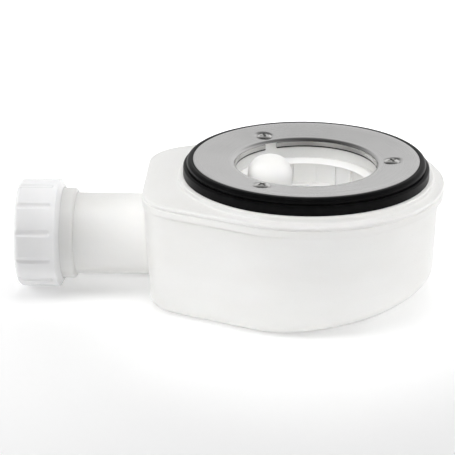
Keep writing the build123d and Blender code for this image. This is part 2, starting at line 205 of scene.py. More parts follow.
# steel ring: fine scratches round the drain, a polished lip with a painted shadow line along its lower edge,
# and a soft shoulder round each screw
def ringSteel(name, look):
    mat, tree, shader = newMaterial(name)
    coord = addNode(tree, "ShaderNodeTexCoord")
    parts = addNode(tree, "ShaderNodeSeparateXYZ")
    tree.links.new(coord.outputs["Object"], parts.inputs["Vector"])
    flat = addNode(tree, "ShaderNodeCombineXYZ")
    tree.links.new(parts.outputs["X"], flat.inputs["X"])
    tree.links.new(parts.outputs["Y"], flat.inputs["Y"])
    reach = addNode(tree, "ShaderNodeVectorMath", operation="LENGTH")
    tree.links.new(flat.outputs["Vector"], reach.inputs[0])
    face = stepOn(tree, reach.outputs["Value"], *look["lip"])
    lines = addNode(tree, "ShaderNodeTexNoise", noise_dimensions="1D", Scale=look["lineScale"], Detail=4)
    tree.links.new(reach.outputs["Value"], lines.inputs["W"])
    scratch = mathOn(tree, "MULTIPLY", lines.outputs["Fac"], face)
    cloud = noiseOn(tree, look["cloudScale"], detail=3)
    colour = rampOn(tree, cloud, look["shade"], look["colour"])
    # painted shadow: the bottom of the turned-down lip is painted near black as the shadow line along its
    # lower edge
    cut = mathOn(tree, "MAXIMUM", stepOn(tree, parts.outputs["Z"], *look["lipShadowBand"]), face)
    lipShadowPaint = addNode(tree, "ShaderNodeMix", data_type="RGBA")
    lipShadowPaint.inputs["A"].default_value = (*look["lipShadowColour"], 1)
    tree.links.new(cut, lipShadowPaint.inputs["Factor"])
    tree.links.new(colour, lipShadowPaint.inputs["B"])
    tree.links.new(lipShadowPaint.outputs["Result"], shader.inputs["Base Color"])
    tree.links.new(spreadOn(tree, scratch, *look["roughness"]), shader.inputs["Roughness"])
    shoulder = None
    for angle in screwAngles:
        turn = math.radians(angle)
        away = addNode(tree, "ShaderNodeVectorMath", operation="DISTANCE")
        away.inputs[1].default_value = (look["circle"] * math.cos(turn), look["circle"] * math.sin(turn), 0)
        tree.links.new(flat.outputs["Vector"], away.inputs[0])
        near = away.outputs["Value"]
        shoulder = near if shoulder is None else mathOn(tree, "MINIMUM", shoulder, near)
    pressed = bumpOn(tree, stepOn(tree, shoulder, *look["shoulder"]), 1.0, look["press"])
    skin = bumpOn(tree, scratch, look["lines"], look["lineHeight"], pressed)
    tree.links.new(skin, shader.inputs["Normal"])
    shader.inputs["Metallic"].default_value = 1.0
    return mat


# screws: brighter, with fine tumbling marks
def screwSteel(name, look):
    mat, tree, shader = newMaterial(name)
    cloud = noiseOn(tree, look["cloudScale"], detail=3)
    tree.links.new(rampOn(tree, cloud, look["shade"], look["colour"]), shader.inputs["Base Color"])
    marks = noiseOn(tree, look["markScale"], detail=4)
    tree.links.new(spreadOn(tree, marks, *look["roughness"]), shader.inputs["Roughness"])
    tree.links.new(bumpOn(tree, marks, look["marks"], look["markHeight"]), shader.inputs["Normal"])
    shader.inputs["Metallic"].default_value = 1.0
    return mat


ringLook = {
    "colour": (0.66, 0.655, 0.65), "shade": (0.63, 0.625, 0.62), "lineScale": 6000, "cloudScale": 60,
    "roughness": (0.20, 0.34), "lines": 0.15, "lineHeight": 0.01 * mm, "lip": (38.0 * mm, 39.2 * mm),
    # painted shadow: a near-black band along the lip's lower edge
    "lipShadowBand": (-2.7 * mm, -2.4 * mm), "lipShadowColour": (0.05, 0.05, 0.05), "circle": screwCircle * mm,
    "shoulder": (3.9 * mm, 5.3 * mm), "press": 0.15 * mm,
}
screwLook = {
    "colour": (0.80, 0.795, 0.78), "shade": (0.70, 0.695, 0.68), "cloudScale": 300, "markScale": 2500,
    "roughness": (0.12, 0.22), "marks": 0.1, "markHeight": 0.02 * mm,
}

finishes = {
    "body": whitePlastic("mouldingWhite", mouldingLook),
    "trap_cup": whitePlastic("insertWhite", insertLook),
    "compression_nut": whitePlastic("nutWhite", nutLook),
    "slip_ring": whitePlastic("slipGrey", slipLook),
    "tray_seal": moulded("blackRubber", rubberLook),
    "cone_seal": moulded("softSeal", softSealLook),
    "flange_ring": ringSteel("satinSteel", ringLook),
    "flange_screws": screwSteel("brightSteel", screwLook),
}
finishes["lid"] = finishes["body"]
finishes["bell"] = finishes["trap_cup"]
finishes["flange_washer"] = finishes["tray_seal"]
finishes["cup_seal"] = finishes["cone_seal"]
for node, finish in finishes.items():
    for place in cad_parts[node].material_slots:
        place.material = finish
print("finishes:", len(set(m.name for m in finishes.values())))


# mesh pieces

def meshPiece(name, bm, finish, body):
    bmesh.ops.recalc_face_normals(bm, faces=bm.faces)
    mesh = bpy.data.meshes.new(name)
    bm.to_mesh(mesh)
    bm.free()
    mesh.materials.append(finish)
    piece = bpy.data.objects.new(name, mesh)
    scene.collection.objects.link(piece)
    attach(piece, body)
    return piece


def smoothAll(piece, angle):
    for poly in piece.data.polygons:
        poly.use_smooth = True
    piece.data.set_sharp_from_angle(angle=math.radians(angle))


# rings of points joined by faces, one after the other
def joinRings(bm, rings, closed=False):
    following = rings[1:] + rings[:1] if closed else rings[1:]
    for first, second in zip(rings, following):
        count = len(first)
        for k in range(count):
            bm.faces.new((first[k], first[(k + 1) % count], second[(k + 1) % count], second[k]))


def closeEnds(bm, rings):
    bm.faces.new(rings[0])
    bm.faces.new(rings[-1][::-1])


# quarter of a rounding: shares of its radius, out from the face it leaves and along it
def quarter(steps):
    turns = [math.pi / 2 * k / steps for k in range(steps + 1)]
    return [(1 - math.cos(turn), 1 - math.sin(turn)) for turn in turns]


def between(first, last, parts):
    return [first.lerp(last, k / parts) for k in range(1, parts)]


# cuts a piece with a mesh that is thrown away afterwards
def carve(piece, cutters):
    bmesh.ops.recalc_face_normals(cutters, faces=cutters.faces)
    cutMesh = bpy.data.meshes.new("cutter")
    cutters.to_mesh(cutMesh)
    cutters.free()
    cutter = bpy.data.objects.new("cutter", cutMesh)
    scene.collection.objects.link(cutter)
    cut = piece.modifiers.new("cut", "BOOLEAN")
    cut.object = cutter
    cut.operation = "DIFFERENCE"
    cut.solver = "EXACT"
    held = piece.evaluated_get(bpy.context.evaluated_depsgraph_get())
    shaped = bpy.data.meshes.new_from_object(held)
    piece.modifiers.clear()
    piece.data = shaped
    bpy.data.objects.remove(cutter)


# plan of the rim: round about the drain, two slanting sides and a flat end with rounded corners
planShape = {
    "radius": 70.2, "reach": 81.8, "slant": 24.7, "round": 84, "side": 10, "bend": 14, "end": 8,
    "spread": (5, 5, 20),     # the plan whose directions the round rings follow
}


def planLine(inset, endInset, corner):
    look = planShape
    radius, reach, slant = look["radius"] - inset, look["reach"] - endInset, math.radians(look["slant"])
    swing = math.pi / 2 + slant
    points = []
    for k in range(look["round"] + 1):
        angle = swing * (2 * k / look["round"] - 1)
        points.append(Vector((radius * math.cos(angle), radius * math.sin(angle), 0)))
    middleX = corner - reach
    middle = Vector((middleX, (radius - corner) / math.cos(slant) + middleX * math.tan(slant), 0))
    bend = []
    for k in range(look["bend"] + 1):
        angle = swing + (math.pi - swing) * k / look["bend"]
        bend.append(middle + corner * Vector((math.cos(angle), math.sin(angle), 0)))
    back = between(points[-1], bend[0], look["side"]) + bend
    front = [Vector((p.x, -p.y, 0)) for p in reversed(back)]
    return points + back + between(back[-1], front[0], look["end"]) + front


planAngles = [math.atan2(p.y, p.x) for p in planLine(*planShape["spread"])]


def planRing(bm, inset, endInset, corner, z):
    return [bm.verts.new((p.x * mm, p.y * mm, z * mm)) for p in planLine(inset, endInset, corner)]


def roundRing(bm, radius, z):
    reach = radius * mm
    return [bm.verts.new((reach * math.cos(a), reach * math.sin(a), z * mm)) for a in planAngles]


# strips across a ring of the plan, from the tip of the round end to the flat end
def fillAcross(bm, ring):
    look = planShape
    tip, last = look["round"] // 2, look["round"]
    bm.faces.new((ring[tip - 1], ring[tip], ring[tip + 1]))
    for k in range(1, last - tip):
        bm.faces.new((ring[tip - k - 1], ring[tip - k], ring[tip + k], ring[tip + k + 1]))
    far = last + look["side"] + look["bend"]
    total = len(ring)
    near = [0] + [total - 1 - k for k in range(far - last)]
    for k in range(far - last - 1):
        bm.faces.new((ring[last + k], ring[last + k + 1], ring[near[k + 1]], ring[near[k]]))
    bm.faces.new([ring[k] for k in range(far - 1, near[-2] + 1)])


# tub with its rim, and the spigot with its collar and socket
tubShape = {
    "partingZ": -9.4, "rimZ": -13.4, "rimCorner": 26.0, "bevel": 0.5, "rimEdge": 0.3, "overhang": 2.6,
    "endOverhang": 0.8, "corner": 20.0, "draft": 1.8, "endDraft": 2.8, "wall": 2.6, "floorZ": -67.6,
    "slopeStart": -15.3, "slope": 7.3, "blend": 150.0, "floorEdge": 6.0, "sharp": 32,
}
spigotShape = {
    "segments": 120, "root": 2.0, "sunk": 1.8, "tube": 21.0, "bore": 18.5, "boreRoom": 0.2,
    "boreSpan": (60.0, 90.0), "collarStart": 117.6, "collar": 23.4, "collarEdge": 1.8, "threadStart": 128.5,
    "thread": 22.4, "mouth": 139.4, "socket": 20.3, "socketDepth": 20.0, "chamfer": 1.4, "sharp": 32,
}


def floorAt(x, look):
    slope = math.radians(look["slope"])
    reach = look["blend"] * math.tan(slope / 2)
    along = x - (look["slopeStart"] - reach)
    if along <= 0:
        return look["floorZ"]
    if x > look["slopeStart"] + reach * math.cos(slope):
        return look["floorZ"] + (x - look["slopeStart"]) * math.tan(slope)
    return look["floorZ"] + look["blend"] - math.sqrt(look["blend"] ** 2 - along ** 2)


# one ring of the drafted wall: height(x) says how far down each point is
def wallRing(bm, look, gap, height):
    deep = look["partingZ"] - look["floorZ"]
    sides, end = look["overhang"] + gap, look["endOverhang"] + gap
    tops = planLine(sides, end, look["corner"] - gap)
    feet = planLine(sides + deep * math.tan(math.radians(look["draft"])),
                    end + deep * math.tan(math.radians(look["endDraft"])), look["corner"] - gap)
    ring = []
    for top, foot in zip(tops, feet):
        z = height(foot.x)
        p = top.lerp(foot, (look["partingZ"] - z) / deep)
        ring.append(bm.verts.new((p.x * mm, p.y * mm, z * mm)))
    return ring


# rings from the wall into the floor, with a rounded edge
def floorRings(bm, look, gap, lift, edge):
    rings = []
    for out, up in quarter(8):
        rings.append(wallRing(bm, look, gap + edge * out, lambda x: floorAt(x, look) + lift + edge * up))
    return rings


# a ring round the outlet, as far along it as told, or from the tub's drafted end wall
def outletRing(bm, look, along, radius, tub=None):
    ring = []
    for k in range(look["segments"]):
        angle = 2 * math.pi * k / look["segments"]
        z = outletZ + radius * math.sin(angle)
        x = along
        if tub is not None:
            lean = (tub["partingZ"] - z) * math.tan(math.radians(tub["endDraft"]))
            x += planShape["reach"] - tub["endOverhang"] - lean
        ring.append(bm.verts.new((-x * mm, radius * mm * math.cos(angle), z * mm)))
    return ring


def buildTub(look, spigot):
    bm = bmesh.new()
    wall, parting, corner = look["wall"], look["partingZ"], look["rimCorner"]
    inside = [wallRing(bm, look, wall, lambda x: parting)]
    inside += floorRings(bm, look, wall, wall, look["floorEdge"] - wall / 2)
    bevel, edge = look["bevel"], look["rimEdge"]
    rim = [planRing(bm, bevel, bevel, corner - bevel, parting), planRing(bm, 0, 0, corner, parting - bevel)]
    for out, up in quarter(3):
        rim.append(planRing(bm, edge * out, edge * out, corner - edge * out, look["rimZ"] + edge * up))
    outside = [wallRing(bm, look, 0, lambda x: look["rimZ"])]
    outside += floorRings(bm, look, 0, 0, look["floorEdge"])
    joinRings(bm, inside[::-1] + rim + outside)
    fillAcross(bm, inside[-1])
    fillAcross(bm, outside[-1])
    piece = meshPiece("tubShell", bm, finishes["body"], "trap")
    cutter = bmesh.new()
    boreRadius = spigot["bore"] + spigot["boreRoom"]
    bore = [outletRing(cutter, spigot, along, boreRadius) for along in spigot["boreSpan"]]
    joinRings(cutter, bore)
    closeEnds(cutter, bore)
    carve(piece, cutter)
    smoothAll(piece, look["sharp"])
    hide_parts("body")
    print("tub:", len(piece.data.polygons), "faces")


def buildSpigot(look, tub):
    bm = bmesh.new()
    root, soft, mouth, bore = look["root"], look["collarEdge"], look["mouth"], look["bore"]
    rings = [outletRing(bm, look, -look["sunk"], radius, tub) for radius in (bore, look["tube"] + root)]
    rings += [outletRing(bm, look, root * out, look["tube"] + root * up, tub) for out, up in quarter(8)]
    rings.append(outletRing(bm, look, look["collarStart"], look["tube"]))
    for out, up in quarter(8):
        rings.append(outletRing(bm, look, look["collarStart"] + soft * out, look["collar"] - soft * up))
    socketEnd = mouth - look["socketDepth"]
    for along, radius in (
            (look["threadStart"], look["collar"]), (look["threadStart"], look["thread"]),
            (mouth, look["thread"]), (mouth, look["socket"] + look["chamfer"]),
            (mouth - look["chamfer"], look["socket"]), (socketEnd, look["socket"]), (socketEnd, bore)):
        rings.append(outletRing(bm, look, along, radius))
    joinRings(bm, rings, closed=True)
    piece = meshPiece("spigotTube", bm, finishes["body"], "trap")
    smoothAll(piece, look["sharp"])
    print("spigot:", len(piece.data.polygons), "faces")


buildTub(tubShape, spigotShape)
buildSpigot(spigotShape, tubShape)


# lid: rim, raised platform, neck with its upstand and seat, tongue and screw bosses
lidShape = {
    "edge": 0.8, "topZ": -7.4, "platform": 65.0, "platformZ": -4.8, "platformEdge": 0.8, "wall": 2.5,
    "neck": 37.3, "neckOuter": 40.3, "upstand": 1.6, "neckTop": -0.15, "bossTop": -1.5, "bossFoot": -16.8,
    "cupTop": -9.2, "seat": 36.0, "seatZ": -27.5, "ledge": 33.4, "footZ": -30.0, "lower": 38.6,
    "tongue": 5.6, "tongueEnd": 3.9, "tongueWall": 1.8, "tongueZ": -11.9, "tongueCorner": 17.4,
    "boss": 3.5, "bossSides": 32, "hole": 2.2, "sharp": 32,
}


def addBoss(bm, look, turn):
    middleX, middleY = screwCircle * math.cos(turn), screwCircle * math.sin(turn)
    boss, hole, topZ, footZ = look["boss"], look["hole"], look["bossTop"], look["bossFoot"]
    rings = []
    for radius, z in ((boss, topZ), (boss, footZ), (hole, footZ), (hole, topZ)):
        ring = []
        for k in range(look["bossSides"]):
            angle = 2 * math.pi * k / look["bossSides"]
            x, y = middleX + radius * math.cos(angle), middleY + radius * math.sin(angle)
            ring.append(bm.verts.new((x * mm, y * mm, z * mm)))
        rings.append(ring)
    joinRings(bm, rings, closed=True)


def buildLid(look):
    bm = bmesh.new()
    corner, parting = tubShape["rimCorner"], tubShape["partingZ"]
    bevel, edge, soft = tubShape["bevel"], look["edge"], look["platformEdge"]
    rings = [planRing(bm, bevel, bevel, corner - bevel, parting), planRing(bm, 0, 0, corner, parting + bevel)]
    for out, up in quarter(5):
        rings.append(planRing(bm, edge * out, edge * out, corner - edge * out, look["topZ"] - edge * up))
    platform, topZ = look["platform"], look["platformZ"]
    rings += [roundRing(bm, platform + soft * up, look["topZ"] + soft * out) for out, up in quarter(5)]
    rings += [roundRing(bm, platform - soft * out, topZ - soft * up) for out, up in quarter(5)]
    underZ, hollow = topZ - look["wall"], platform - look["wall"]
    neck, outer, lip = look["neck"], look["neckOuter"], look["neck"] + look["upstand"]
    seat, ledge, lower = look["seat"], look["ledge"], look["lower"]
    for radius, z in (
            (outer, topZ), (outer, look["bossTop"]), (lip, look["bossTop"]), (lip, look["neckTop"]),
            (neck, look["neckTop"]), (neck, look["cupTop"]), (seat, look["cupTop"]), (seat, look["seatZ"]),
            (ledge, look["seatZ"]), (ledge, look["footZ"]), (lower, look["footZ"]), (lower, look["bossFoot"]),
            (outer, look["bossFoot"]), (outer, underZ), (hollow, underZ), (hollow, parting)):
        rings.append(roundRing(bm, radius, z))
    tongue, tongueEnd, bend = look["tongue"], look["tongueEnd"], look["tongueCorner"]
    wall, foot = look["tongueWall"], look["tongueZ"]
    for inset, z in ((wall, parting), (wall, foot), (0, foot), (0, parting)):
        rings.append(planRing(bm, tongue + inset, tongueEnd + inset, bend - inset, z))
    joinRings(bm, rings, closed=True)
    for angle in screwAngles:
        addBoss(bm, look, math.radians(angle))
    piece = meshPiece("lidShell", bm, finishes["lid"], "trap")
    smoothAll(piece, look["sharp"])
    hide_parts("lid")
    print("lid:", len(piece.data.polygons), "faces")


buildLid(lidShape)


# rubber rings: the tray seal and the washer round the steel's edge
sealShape = {"segments": 180, "inner": 49.85, "outer": 62.5, "height": 4.8, "edge": 1.0, "sharp": 32}
washerShape = {
    "segments": 180, "inner": 49.85, "innerZ": 1.41, "outer": 60.7, "foot": 0.7, "shoulder": 1.2,
    "brow": (58.5, 3.15), "browSteps": 10, "bore": 57.7, "boreZ": 2.15, "sharp": 32,
}


def sealProfile(look):
    inner, outer, foot, edge = look["inner"], look["outer"], -look["height"], look["edge"]
    line = [(inner, 0), (inner, foot), (outer, foot)]
    return line + [(outer - edge * out, -edge * up) for out, up in quarter(6)]


# the washer's brow is an arc from its shoulder to the edge of the steel
def washerProfile(look):
    inner, outer, foot, shoulder = look["inner"], look["outer"], look["foot"], look["shoulder"]
    line = [(inner, look["innerZ"]), (inner, 0)]
    line += [(outer - foot * up, foot * out) for out, up in quarter(5)]
    browR, browZ = look["brow"]
    wide, high = outer - browR, browZ - shoulder
    bend = (wide ** 2 + high ** 2) / (2 * wide)
    swing = math.atan2(high, bend - wide)
    for k in range(look["browSteps"] + 1):
        turn = swing * k / look["browSteps"]
        line.append((outer - bend * (1 - math.cos(turn)), shoulder + bend * math.sin(turn)))
    return line + [(look["bore"], browZ), (look["bore"], look["boreZ"])]


def rubberRing(name, profile, look, node):
    bm = bmesh.new()
    turns = [2 * math.pi * k / look["segments"] for k in range(look["segments"])]
    rings = []
    for radius, z in profile:
        reach = radius * mm
        rings.append([bm.verts.new((reach * math.cos(a), reach * math.sin(a), z * mm)) for a in turns])
    joinRings(bm, rings, closed=True)
    piece = meshPiece(name, bm, finishes[node], "trap")
    smoothAll(piece, look["sharp"])
    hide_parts(node)


rubberRing("traySeal", sealProfile(sealShape), sealShape, "tray_seal")
rubberRing("flangeWasher", washerProfile(washerShape), washerShape, "flange_washer")
print("rubber rings ready")


# steel ring: dished face, turned-down lip with a gap beside each screw, and a pressed seat for each head
steelShape = {
    "outer": 57.5, "edge": 0.36, "rise": 3.2, "dish": 5.5, "sheet": 1.0, "lip": 36.0, "bend": 2.0,
    "bendSteps": 10, "lipZ": -3.2, "gapWidth": 7.0, "gapZ": 0.1, "gapEdge": 0.02, "seatZ": 1.55, "seat": 4.3,
    "seatSlope": 0.6, "soft": 0.35, "sharp": 35,
    # spacing of the mesh: degrees away from the screws and near them, and millimetres across the face
    "coarse": 1.5, "fine": 0.25, "near": 8.0, "outerRows": [54.5, 51.5], "innerFrom": 50.0, "step": 0.35,
}


def steelAngles(look):
    gap = math.degrees(math.asin(look["gapWidth"] / 2 / look["lip"]))
    near, span, edge = look["near"], screwSpacing - 2 * look["near"], look["gapEdge"]
    fine, far = round(2 * near / look["fine"]), round(span / look["coarse"])
    angles = []
    for middle in screwAngles:
        angles += [middle - near + look["fine"] * j for j in range(fine + 1)]
        angles += [middle + side * (gap + off) for side in (-1, 1) for off in (-edge, edge)]
        angles += [middle + near + span * j / far for j in range(1, far)]
    return sorted(angles), gap


# one section of the ring at an angle: the upper face from the rim to the lip, then back underneath
def steelSection(look, angle, gap):
    fall = math.tan(math.radians(look["dish"]))
    tilt = math.pi / 2 + math.radians(look["dish"])
    aside = abs((angle + screwSpacing / 2) % screwSpacing - screwSpacing / 2)
    cut = aside < gap
    centreR = look["lip"] + look["bend"]
    startR = centreR + look["bend"] * math.cos(tilt)
    centreZ = look["rise"] - (look["outer"] - startR) * fall - look["bend"] * math.sin(tilt)

    def face(radius):
        plain = look["rise"] - (look["outer"] - radius) * fall
        turn = math.radians(aside)
        away = math.hypot(radius * math.cos(turn) - screwCircle, radius * math.sin(turn))
        seat = look["seatZ"] + (away - look["seat"]) * look["seatSlope"]
        blend = max(0.0, look["soft"] - abs(plain - seat)) / look["soft"]
        return min(plain, seat) - blend * blend * look["soft"] / 4

    def turned(radius):
        last = math.pi
        if cut:
            last = math.pi - math.asin(min(1.0, (look["gapZ"] - centreZ) / radius))
        line = []
        for k in range(1, look["bendSteps"] + 1):
            turn = tilt + (last - tilt) * k / look["bendSteps"]
            line.append((centreR + radius * math.cos(turn), centreZ + radius * math.sin(turn)))
        endR, endZ = line[-1]
        for share in (0.5, 1.0):
            line.append((endR, endZ if cut else centreZ + (look["lipZ"] - centreZ) * share))
        return line
    outer, edge = look["outer"], look["edge"]
    rim = [(outer - edge * out, face(outer) - edge * fall - edge * up) for out, up in quarter(4)]
    rows = list(look["outerRows"])
    radius = look["innerFrom"]
    while radius > startR:
        rows.append(radius)
        radius -= look["step"]
    upper = [(r, min(z, face(r))) for r, z in rim] + [(r, face(r)) for r in rows]
    lower = [(r, face(r) - look["sheet"]) for r in [outer] + rows] + turned(look["bend"] - look["sheet"])
    return upper + turned(look["bend"]) + lower[::-1]


def buildSteel(look):
    bm = bmesh.new()
    angles, gap = steelAngles(look)
    columns = []
    for angle in angles:
        turn = math.radians(angle)
        columns.append([bm.verts.new((r * mm * math.cos(turn), r * mm * math.sin(turn), z * mm))
                        for r, z in steelSection(look, angle, gap)])
    joinRings(bm, columns, closed=True)
    piece = meshPiece("steelRing", bm, finishes["flange_ring"], "trap")
    smoothAll(piece, look["sharp"])
    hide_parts("flange_ring")
    print("steel:", len(piece.data.polygons), "faces")


buildSteel(steelShape)


# lift-out cup: sloping rim, ribbed pocket, ledge, round well and the standpipe
cupShape = {
    "segments": 120, "radius": 35.7, "topZ": -9.2, "rim": 0.7, "funnel": 2.0, "brow": 0.6, "pocket": 33.9,
    "ribs": 32.2, "ledgeZ": -22.2, "baseZ": -26.0, "wellShift": -2.0, "well": 29.0, "wellWall": 2.0,
    "wellFloorZ": -51.6, "wellFootZ": -53.6, "wellEdge": 3.0, "ribCount": 20, "ribWidth": 2.2,
    "ribSunk": 0.2, "ribRoot": 0.9, "sharp": 32,
}
bellShape = {
    "shift": -18.4, "width": 22.6, "length": 27.0, "corner": 11.2, "cornerSteps": 14, "edge": 9.3,
    "topZ": 3.1, "skirtZ": -46.6, "wall": 1.6, "gap": 3.2, "weirZ": -12.0, "pipeWall": 1.5, "sharp": 40,
}


# rounded oblong of the bell and the standpipe, drawn inwards by an amount
def oblongRing(bm, look, inset, z):
    ring = []
    corner = look["corner"] - inset
    steps = look["cornerSteps"]
    for k, (sx, sy) in enumerate(((1, 1), (-1, 1), (-1, -1), (1, -1))):
        for j in range(steps + 1):
            angle = math.pi / 2 * (k + j / steps)
            x = look["shift"] + sx * (look["width"] / 2 - look["corner"]) + corner * math.cos(angle)
            y = sy * (look["length"] / 2 - look["corner"]) + corner * math.sin(angle)
            ring.append(bm.verts.new((x * mm, y * mm, z * mm)))
    return ring


def addRib(bm, look, turn, topZ):
    half, inner, root = look["ribWidth"] / 2, look["ribs"], look["pocket"] + look["ribRoot"]
    rows = []
    for z in (look["ledgeZ"] - look["ribSunk"], topZ + look["ribSunk"]):
        row = []
        for out, across in ((inner, -half), (root, -half), (root, half), (inner, half)):
            x = out * math.cos(turn) - across * math.sin(turn)
            y = out * math.sin(turn) + across * math.cos(turn)
            row.append(bm.verts.new((x * mm, y * mm, z * mm)))
        rows.append(row)
    joinRings(bm, rows)
    closeEnds(bm, rows)


def buildCup(look, bell):
    bm = bmesh.new()
    turns = [2 * math.pi * k / look["segments"] for k in range(look["segments"])]

    def turned(radius, z, shift=0.0):
        return [bm.verts.new(((shift + radius * math.cos(a)) * mm, radius * math.sin(a) * mm, z * mm))
                for a in turns]
    radius, well, pocket, ribs = look["radius"], look["well"], look["pocket"], look["ribs"]
    topZ, ledgeZ, baseZ, floorZ = look["topZ"], look["ledgeZ"], look["baseZ"], look["wellFloorZ"]
    shift, outer, soft = look["wellShift"], well + look["wellWall"], look["wellEdge"]
    funnelZ = topZ - look["funnel"]
    ribTop = funnelZ - look["brow"]
    rings = [turned(well, floorZ, shift), turned(well, ledgeZ, shift), turned(pocket, ledgeZ),
             turned(pocket, ribTop), turned(ribs, ribTop), turned(ribs, funnelZ),
             turned(radius - look["rim"], topZ), turned(radius, topZ), turned(radius, baseZ),
             turned(outer, baseZ, shift)]
    rings += [turned(outer - soft * out, look["wellFootZ"] + soft * up, shift) for out, up in quarter(6)]
    joinRings(bm, rings)
    closeEnds(bm, rings)
    for k in range(look["ribCount"]):
        addRib(bm, look, 2 * math.pi * (k + 0.5) / look["ribCount"], ribTop)
    pipeOuter = bell["wall"] + bell["gap"]
    pipeInner = pipeOuter + bell["pipeWall"]
    pipe = [oblongRing(bm, bell, inset, z) for inset, z in (
        (pipeOuter, floorZ), (pipeOuter, bell["weirZ"]), (pipeInner, bell["weirZ"]), (pipeInner, floorZ))]
    joinRings(bm, pipe, closed=True)
    piece = meshPiece("cupInsert", bm, finishes["trap_cup"], "trap")
    smoothAll(piece, look["sharp"])
    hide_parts("trap_cup")
    print("cup:", len(piece.data.polygons), "faces")


def buildBell(look):
    bm = bmesh.new()
    wall, edge, topZ = look["wall"], look["edge"], look["topZ"]
    bend = edge - wall
    inner = [oblongRing(bm, look, wall, look["skirtZ"])]
    inner += [oblongRing(bm, look, wall + bend * out, topZ - wall - bend * up) for out, up in quarter(12)]
    outer = [oblongRing(bm, look, 0, look["skirtZ"])]
    outer += [oblongRing(bm, look, edge * out, topZ - edge * up) for out, up in quarter(16)]
    rings = inner[::-1] + outer
    joinRings(bm, rings)
    closeEnds(bm, rings)
    piece = meshPiece("bellDome", bm, finishes["bell"], "trap")
    smoothAll(piece, look["sharp"])
    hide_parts("bell")
    print("bell:", len(piece.data.polygons), "faces")


buildCup(cupShape, bellShape)
buildBell(bellShape)


# compression nut: finger flutes that end in round bottoms, and a tapered back
nutShape = {
    "backEnd": 124.5, "back": 126.5, "front": 147.4, "face": 144.6, "radius": 27.8, "edge": 3.0, "bore": 23.7,
    "mouth": 20.7, "backLip": 0.8, "flutes": 12, "fluteStart": 20.0, "fluteRadius": 2.0, "fluteDepth": 0.8,
    "fluteFoot": 130.2, "fluteEnd": 138.0, "perFlute": 24, "sharp": 32,
    # rings behind the flutes' foot: the last plain one, and those round the bottoms
    "plainRing": 1.65, "footRings": [1.5, 1.2, 0.8, 0.4, 0.0],
}


def buildNut(look):
    bm = bmesh.new()
    perFlute, count = look["perFlute"], look["flutes"] * look["perFlute"]
    circle = look["radius"] + look["fluteRadius"] - look["fluteDepth"]

    def ring(along, radius, cut):
        points = []
        for k in range(count):
            angle = math.radians(look["fluteStart"]) + 2 * math.pi * k / count
            swing = 2 * math.pi * ((k + perFlute / 2) % perFlute - perFlute / 2) / count
            aside = circle * math.sin(swing)
            room = look["fluteRadius"] ** 2 - max(0.0, look["fluteFoot"] - along) ** 2 - aside ** 2
            r = radius
            if cut and room > 0:
                r = min(radius, circle * math.cos(swing) - math.sqrt(room))
            z = outletZ + r * math.sin(angle)
            points.append(bm.verts.new((-along * mm, -r * mm * math.cos(angle), z * mm)))
        return points
    foot, radius, soft, bore = look["fluteFoot"], look["radius"], look["edge"], look["bore"]
    rings = [ring(look["backEnd"], bore, False), ring(look["backEnd"], bore + look["backLip"], False),
             ring(look["back"], radius, False), ring(foot - look["plainRing"], radius, False)]
    rings += [ring(foot - step, radius, True) for step in look["footRings"]]
    rings.append(ring(look["fluteEnd"], radius, True))
    rings += [ring(look["front"] - soft * up, radius - soft * out, True) for out, up in quarter(10)]
    rings += [ring(look["front"], look["mouth"], False), ring(look["face"], look["mouth"], False),
              ring(look["face"], bore, False)]
    joinRings(bm, rings, closed=True)
    piece = meshPiece("flutedNut", bm, finishes["compression_nut"], "nut")
    smoothAll(piece, look["sharp"])
    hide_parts("compression_nut")
    print("nut:", len(piece.data.polygons), "faces")


buildNut(nutShape)


# a ridge swept along a screw line: point(turn, radius, along) places it, and its height fades in and out
threadBase = {"least": 0.08, "sunk": 0.12 * mm, "sharp": 40}


def addThread(bm, point, look):
    steps = round(look["turns"] * look["perTurn"])
    base, crest, least = look["base"], look["crest"], threadBase["least"]
    root = base + math.copysign(threadBase["sunk"], base - crest)
    wide, narrow = look["foot"] / 2, look["top"] / 2
    rings = []
    for k in range(steps + 1):
        turn = 2 * math.pi * k / look["perTurn"]
        fade = min(1.0, k / look["fade"], (steps - k) / look["fade"])
        tip = base + (crest - base) * (least + (1 - least) * fade)
        along = look["pitch"] * turn / (2 * math.pi)
        ring = [point(turn, root, along - wide), point(turn, tip, along - narrow),
                point(turn, tip, along + narrow), point(turn, root, along + wide)]
        rings.append([bm.verts.new(p) for p in ring])
    joinRings(bm, rings)
    closeEnds(bm, rings)


# threads of the spigot and the nut, half a pitch apart, right-handed about the outlet
spigotThread = {
    "start": 129.6 * mm, "pitch": 3 * mm, "turns": 2.9, "perTurn": 96, "fade": 24, "base": 22.4 * mm,
    "crest": 23.3 * mm, "foot": 1.7 * mm, "top": 0.5 * mm, "phase": 0.0,
}
nutThread = {
    "start": 129.6 * mm, "pitch": 3 * mm, "turns": 2.6, "perTurn": 96, "fade": 24, "base": 23.7 * mm,
    "crest": 22.75 * mm, "foot": 1.7 * mm, "top": 0.5 * mm, "phase": math.pi,
}


def outletHelix(look):
    def point(turn, radius, along):
        swing = turn + look["phase"]
        z = outletZ * mm + radius * math.cos(swing)
        return Vector((-(look["start"] + along), radius * math.sin(swing), z))
    return point


for name, look, node, body, slot in (
        ("spigotThread", spigotThread, "body", "trap", "white_moulding"),
        ("nutThread", nutThread, "compression_nut", "nut", "white_nut")):
    bm = bmesh.new()
    addThread(bm, outletHelix(look), look)
    smoothAll(meshPiece(name, bm, finishes[node], body), threadBase["sharp"])
print("threads ready")


